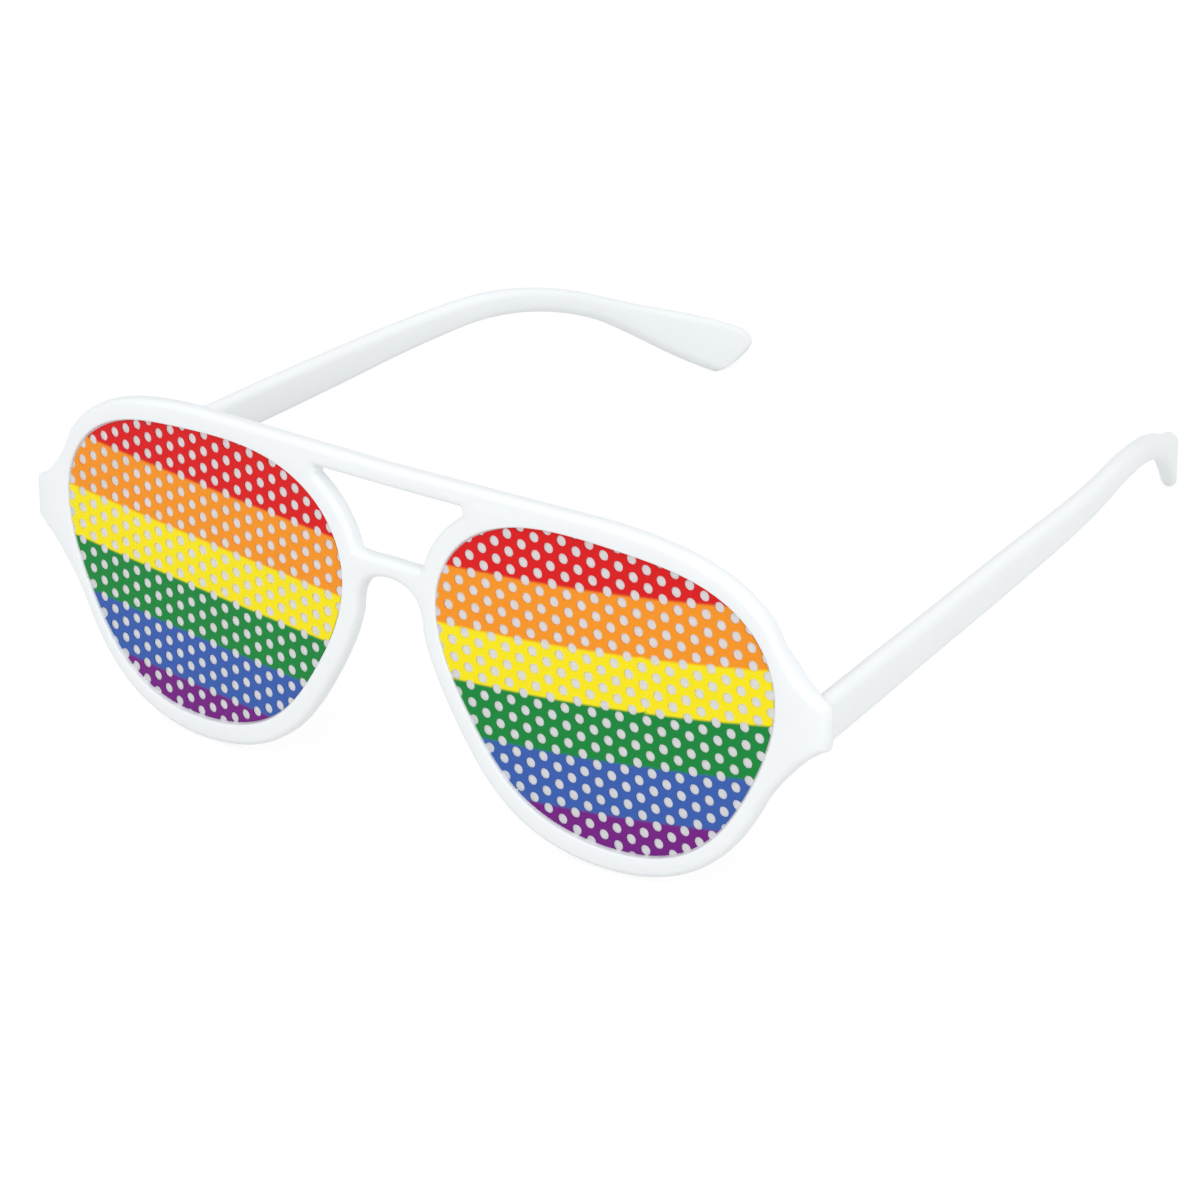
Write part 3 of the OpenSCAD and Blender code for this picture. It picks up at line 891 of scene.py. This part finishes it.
class GLASSES_OT_front(bpy.types.Operator):
    """Make the moulded front: rims, top bar, nose arch and endpieces in one piece"""
    bl_idname = "glasses.front"
    bl_label = "Front"

    def execute(self, context):
        front, lens = context.scene.glasses_front, context.scene.glasses_lens
        half = lens.pitch / 2
        turn = math.asin(half / front.bow)
        end_from = front.width / 2 - front.round_end
        block_from = front.width / 2 - front.block
        # How deep the face turns back at its end, as a share of the length, and the ramp up to a block
        turned_back, before_block, ramp = 0.2, 0.4 * MM, 1.2 * MM

        def face(x, _z):
            past = max(0.0, abs(x) - end_from) / front.round_end
            fall = 1 - math.sqrt(max(0.0, 1 - past * past))
            return bow_depth(x) + front.round_end * fall * turned_back

        def back(x, _z):
            t = min(1.0, max(0.0, (abs(x) - block_from + before_block) / ramp))
            plain = bow_depth(x) + front.thick
            return plain + (front.end_back - plain) * t * t * (3 - 2 * t)

        def lens_face(x, _z):
            return bow_depth(half) + (abs(x) - half) * math.tan(turn) + lens.depth / math.cos(turn)

        def lens_back(x, z):
            return lens_face(x, z) + (lens.thick + lens.fit) / math.cos(turn)

        right = [(x + half, z) for x, z in reversed(opening_ring())]
        edge = front.round_opening
        loops = [(loop, front.round_face, front.round_back, False)
                 for loop in (front_outline(), bar_window())]
        loops += [(loop, edge, edge, True) for loop in (right, flipped(right))]
        mesh = plate_mesh("frame_front_moulding", loops, face, back, step=1.3 * MM,
                          groove=(lens.groove, lens_face, lens_back))
        place(mesh, front_to_table())
        for side in SIDES:
            mesh = self.recessed(mesh, side)
        add_piece("front_moulding", mesh, "white_moulded_plastic", "front", "frame_front")
        return {"FINISHED"}

    def recessed(self, mesh, side):
        """The mesh with the recess that a front leaf is set in."""
        upright = front_to_table().inverted()
        leaf = [upright @ v.co for v in frame["nodes"]["front_leaf_" + side].data.vertices]
        end_back = sidebar("front").end_back
        plate = [c for c in leaf if c.y <= end_back + LEAF_ROOM]
        low = Vector([min(c[i] for c in plate) - LEAF_ROOM for i in range(3)])
        high = Vector([max(c[i] for c in plate) + LEAF_ROOM for i in range(3)])
        high.y = end_back + 1 * MM
        mesh.transform(upright)
        mesh = cut_with_box(mesh, low, high)
        mesh = finished(opened(mesh), mesh.name)
        place(mesh, upright.inverted())
        return mesh


class GLASSES_OT_lenses(bpy.types.Operator):
    """Make the two clear lenses"""
    bl_idname = "glasses.lenses"
    bl_label = "Lenses"

    def execute(self, context):
        lens = context.scene.glasses_lens
        ring, edge = opening_ring(lens.groove - lens.fit), 0.12 * MM
        for name, side in SIDES.items():
            mesh = plate_mesh("lens_plate_" + name, [(ring, edge, edge, False)],
                              lambda x, z: lens.depth, lambda x, z: lens.depth + lens.thick)
            mesh.transform(DRAWING)
            place(mesh, lens_place(side))
            add_piece("lens_plate_" + name, mesh, "clear_lens_acrylic", "front", "lens_" + name)
        return {"FINISHED"}


class GLASSES_OT_films(bpy.types.Operator):
    """Make the two perforated films with their striped print"""
    bl_idname = "glasses.films"
    bl_label = "Films"

    def execute(self, context):
        lens, film = context.scene.glasses_lens, context.scene.glasses_film
        material = bpy.data.materials["striped_vinyl_film"]
        tree = perforation_tree()
        for name, side in SIDES.items():
            slope, first, stripe, bow = (getattr(film, f"{size}_{name}")
                                         for size in ("slope", "first", "stripe", "bow"))
            near, far = lens.depth - film.thick, lens.depth
            bm = bmesh.new()
            rows = [[bm.verts.new((u, v, w)) for u, v in opening_ring(-film.gap)] for w in (near, far)]
            bm.faces.new(rows[0])
            bm.faces.new(rows[1])
            bridge(bm, *rows)
            bmesh.ops.recalc_face_normals(bm, faces=bm.faces)
            blank = closed(bm, bpy.data.meshes.new("film_blank"))
            mesh = evaluated(blank, tree, {
                "Pitch": film.pitch, "Hole": film.hole, "Slope": slope, "Depth": (near + far) / 2,
                "Columns": COLUMNS, "Sides": HOLE_SIDES, "Material": material})
            self.map_print(mesh, slope, first, stripe, bow)
            place(mesh, lens_place(side))
            add_piece("striped_film_" + name, mesh, material.name, "front", "film_" + name)
        return {"FINISHED"}

    def map_print(self, mesh, slope, first, stripe, bow):
        """A map whose height runs from 0 at the foot of the last stripe to 1 at the top of the first."""
        uv = mesh.uv_layers.new(name="print")
        whole = stripe * len(STRIPES)
        first -= sidebar("film").orange
        for loop in mesh.loops:
            u, v, _ = mesh.vertices[loop.vertex_index].co
            across = v * math.cos(slope) - u * math.sin(slope) - bow * u * u
            uv.data[loop.index].uv = (u / whole, (across - first) / whole + (len(STRIPES) - 1) / len(STRIPES))


class GLASSES_OT_temples(bpy.types.Operator):
    """Make the two temples"""
    bl_idname = "glasses.temples"
    bl_label = "Temples"

    def execute(self, context):
        front, temple = context.scene.glasses_front, context.scene.glasses_temple
        hinge_x = JOINTS["fold_right"]["pos_m"][0]
        middle = front.width / 2 - temple.inset - temple.thick / 2 - hinge_x
        material = bpy.data.materials["white_moulded_plastic"]
        values = {name: getattr(temple, size) for name, size in TEMPLE_SIZES.items()}
        values |= {"Middle": middle, "Rings": temple.rings, "Sides": temple.sides + 1, "Material": material}
        tree = temple_tree()
        for name, side in SIDES.items():
            bm = opened(evaluated(bpy.data.meshes.new("temple_line"), tree, values))
            bmesh.ops.remove_doubles(bm, verts=bm.verts, dist=WELD)
            bmesh.ops.recalc_face_normals(bm, faces=bm.faces)
            mesh = finished(bm, "temple_arm_" + name)
            place(mesh, temple_place(side))
            add_piece("temple_arm_" + name, mesh, material.name, "temple_" + name[0],
                      "temple_" + name)
        return {"FINISHED"}


class GLASSES_OT_hinges(bpy.types.Operator):
    """Finish the hinge leaves and screws"""
    bl_idname = "glasses.hinges"
    bl_label = "Hinges"

    def execute(self, context):
        for side in SIDES:
            for name in ("front_leaf_", "temple_leaf_", "hinge_screw_"):
                node, turned = frame["nodes"][name + side], name == "hinge_screw_"
                node.data.materials.clear()
                node.data.materials.append(
                    bpy.data.materials["turned_screw_steel" if turned else "brushed_leaf_steel"])
        return {"FINISHED"}


class GLASSES_OT_materials(bpy.types.Operator):
    """Make the finishes that the pieces use"""
    bl_idname = "glasses.materials"
    bl_label = "Finishes"

    def execute(self, context):
        moulded_group()
        white_plastic()
        clear_lens()
        striped_film()
        hinge_steel(True)
        hinge_steel(False)
        return {"FINISHED"}


class GLASSES_OT_stage(bpy.types.Operator):
    """Make the floor, the lights and the camera"""
    bl_idname = "glasses.stage"
    bl_label = "Stage"

    def execute(self, context):
        self.floor()
        self.lights(context)
        self.camera(context)
        context.scene.view_settings.view_transform = "Standard"
        return {"FINISHED"}

    def floor(self):
        bm = bmesh.new()
        bmesh.ops.create_grid(bm, x_segments=1, y_segments=1, size=3)
        bmesh.ops.translate(bm, vec=(0, 0, -0.1 * MM), verts=bm.verts)
        mesh = closed(bm, bpy.data.meshes.new("floor"))
        mesh.materials.append(floor_material())
        floor = linked("floor", mesh)

    def lights(self, context):
        world = bpy.data.worlds.new("soft_studio")
        world.use_nodes = True
        tree = world.node_tree
        tree.nodes.clear()
        # The light comes mostly from the camera's side, so that a white piece darkens where it turns away
        way = tree.nodes.new("ShaderNodeTexCoord").outputs["Generated"]
        facing = add_node(tree, "ShaderNodeVectorMath", operation="DOT_PRODUCT", Vector=way)
        _, up, back = camera_axes()
        raised, from_camera, all_round = 0.3, 0.82, 0.58
        facing.inputs[1].default_value = front_to_table().to_3x3() @ (back + up * raised).normalized()
        strength = Term(facing.outputs["Value"]).at_least(0.0) * from_camera + all_round
        plain = add_node(tree, "ShaderNodeBackground", Color=(1, 1, 1, 1), Strength=strength)
        white = add_node(tree, "ShaderNodeBackground", Color=(1, 1, 1, 1), Strength=1.0)
        end_in_mix("ShaderNodeOutputWorld", ("Transmission",), plain, white)
        context.scene.world = world
        for name, spot, size, watts in (("key_softbox", (-0.45, -0.85, 0.8), 0.45, 0.5),
                                        ("fill_softbox", (1.0, -0.45, 0.5), 0.9, 0.6)):
            lamp = bpy.data.lights.new(name, "AREA")
            lamp.energy, lamp.size = watts, size
            holder = linked(name, lamp)
            holder.location = spot
            holder.rotation_euler = Vector(spot).to_track_quat("Z", "Y").to_euler()

    def camera(self, context):
        look = context.scene.glasses_look
        right, up, back = camera_axes()
        axes = Matrix((right, up, back)).transposed().to_4x4()
        stand = right * look.aside + up * look.above + back * look.distance
        data = bpy.data.cameras.new("photo_view")
        data.lens, data.sensor_width = look.focal, 36
        data.clip_start, data.clip_end = 0.01, 20
        camera = linked("photo_view", data)
        camera.matrix_world = front_to_table() @ Matrix.Translation(stand) @ axes
        context.scene.camera = camera


class GLASSES_PT_build(bpy.types.Panel):
    """The glasses' pieces and main sizes in the sidebar"""
    bl_idname = "GLASSES_PT_build"
    bl_label = "Pinhole glasses"
    bl_space_type = "VIEW_3D"
    bl_region_type = "UI"
    bl_category = "Glasses"

    def draw(self, context):
        for step in STEPS:
            self.layout.operator(step.bl_idname)
        for group in (context.scene.glasses_front, context.scene.glasses_film, context.scene.glasses_look):
            box = self.layout.box()
            for name in group.__annotations__:
                box.prop(group, name)


GROUPS = {"glasses_front": GlassesFront, "glasses_lens": GlassesLens, "glasses_film": GlassesFilm,
          "glasses_temple": GlassesTemple, "glasses_look": GlassesLook}
STEPS = (GLASSES_OT_materials, GLASSES_OT_front, GLASSES_OT_lenses, GLASSES_OT_films, GLASSES_OT_temples,
         GLASSES_OT_hinges, GLASSES_OT_stage)


def register():
    for item in (*GROUPS.values(), *STEPS, GLASSES_PT_build):
        bpy.utils.register_class(item)
    for name, group in GROUPS.items():
        setattr(bpy.types.Scene, name, PointerProperty(type=group))


def unregister():
    for name in GROUPS:
        delattr(bpy.types.Scene, name)
    for item in reversed((*GROUPS.values(), *STEPS, GLASSES_PT_build)):
        bpy.utils.unregister_class(item)


def main():
    """Makes every piece, in order."""
    register()
    for step in STEPS:
        getattr(bpy.ops.glasses, step.bl_idname.split(".")[1])()
    bpy.context.view_layer.update()


if __name__ == "__main__":
    main()
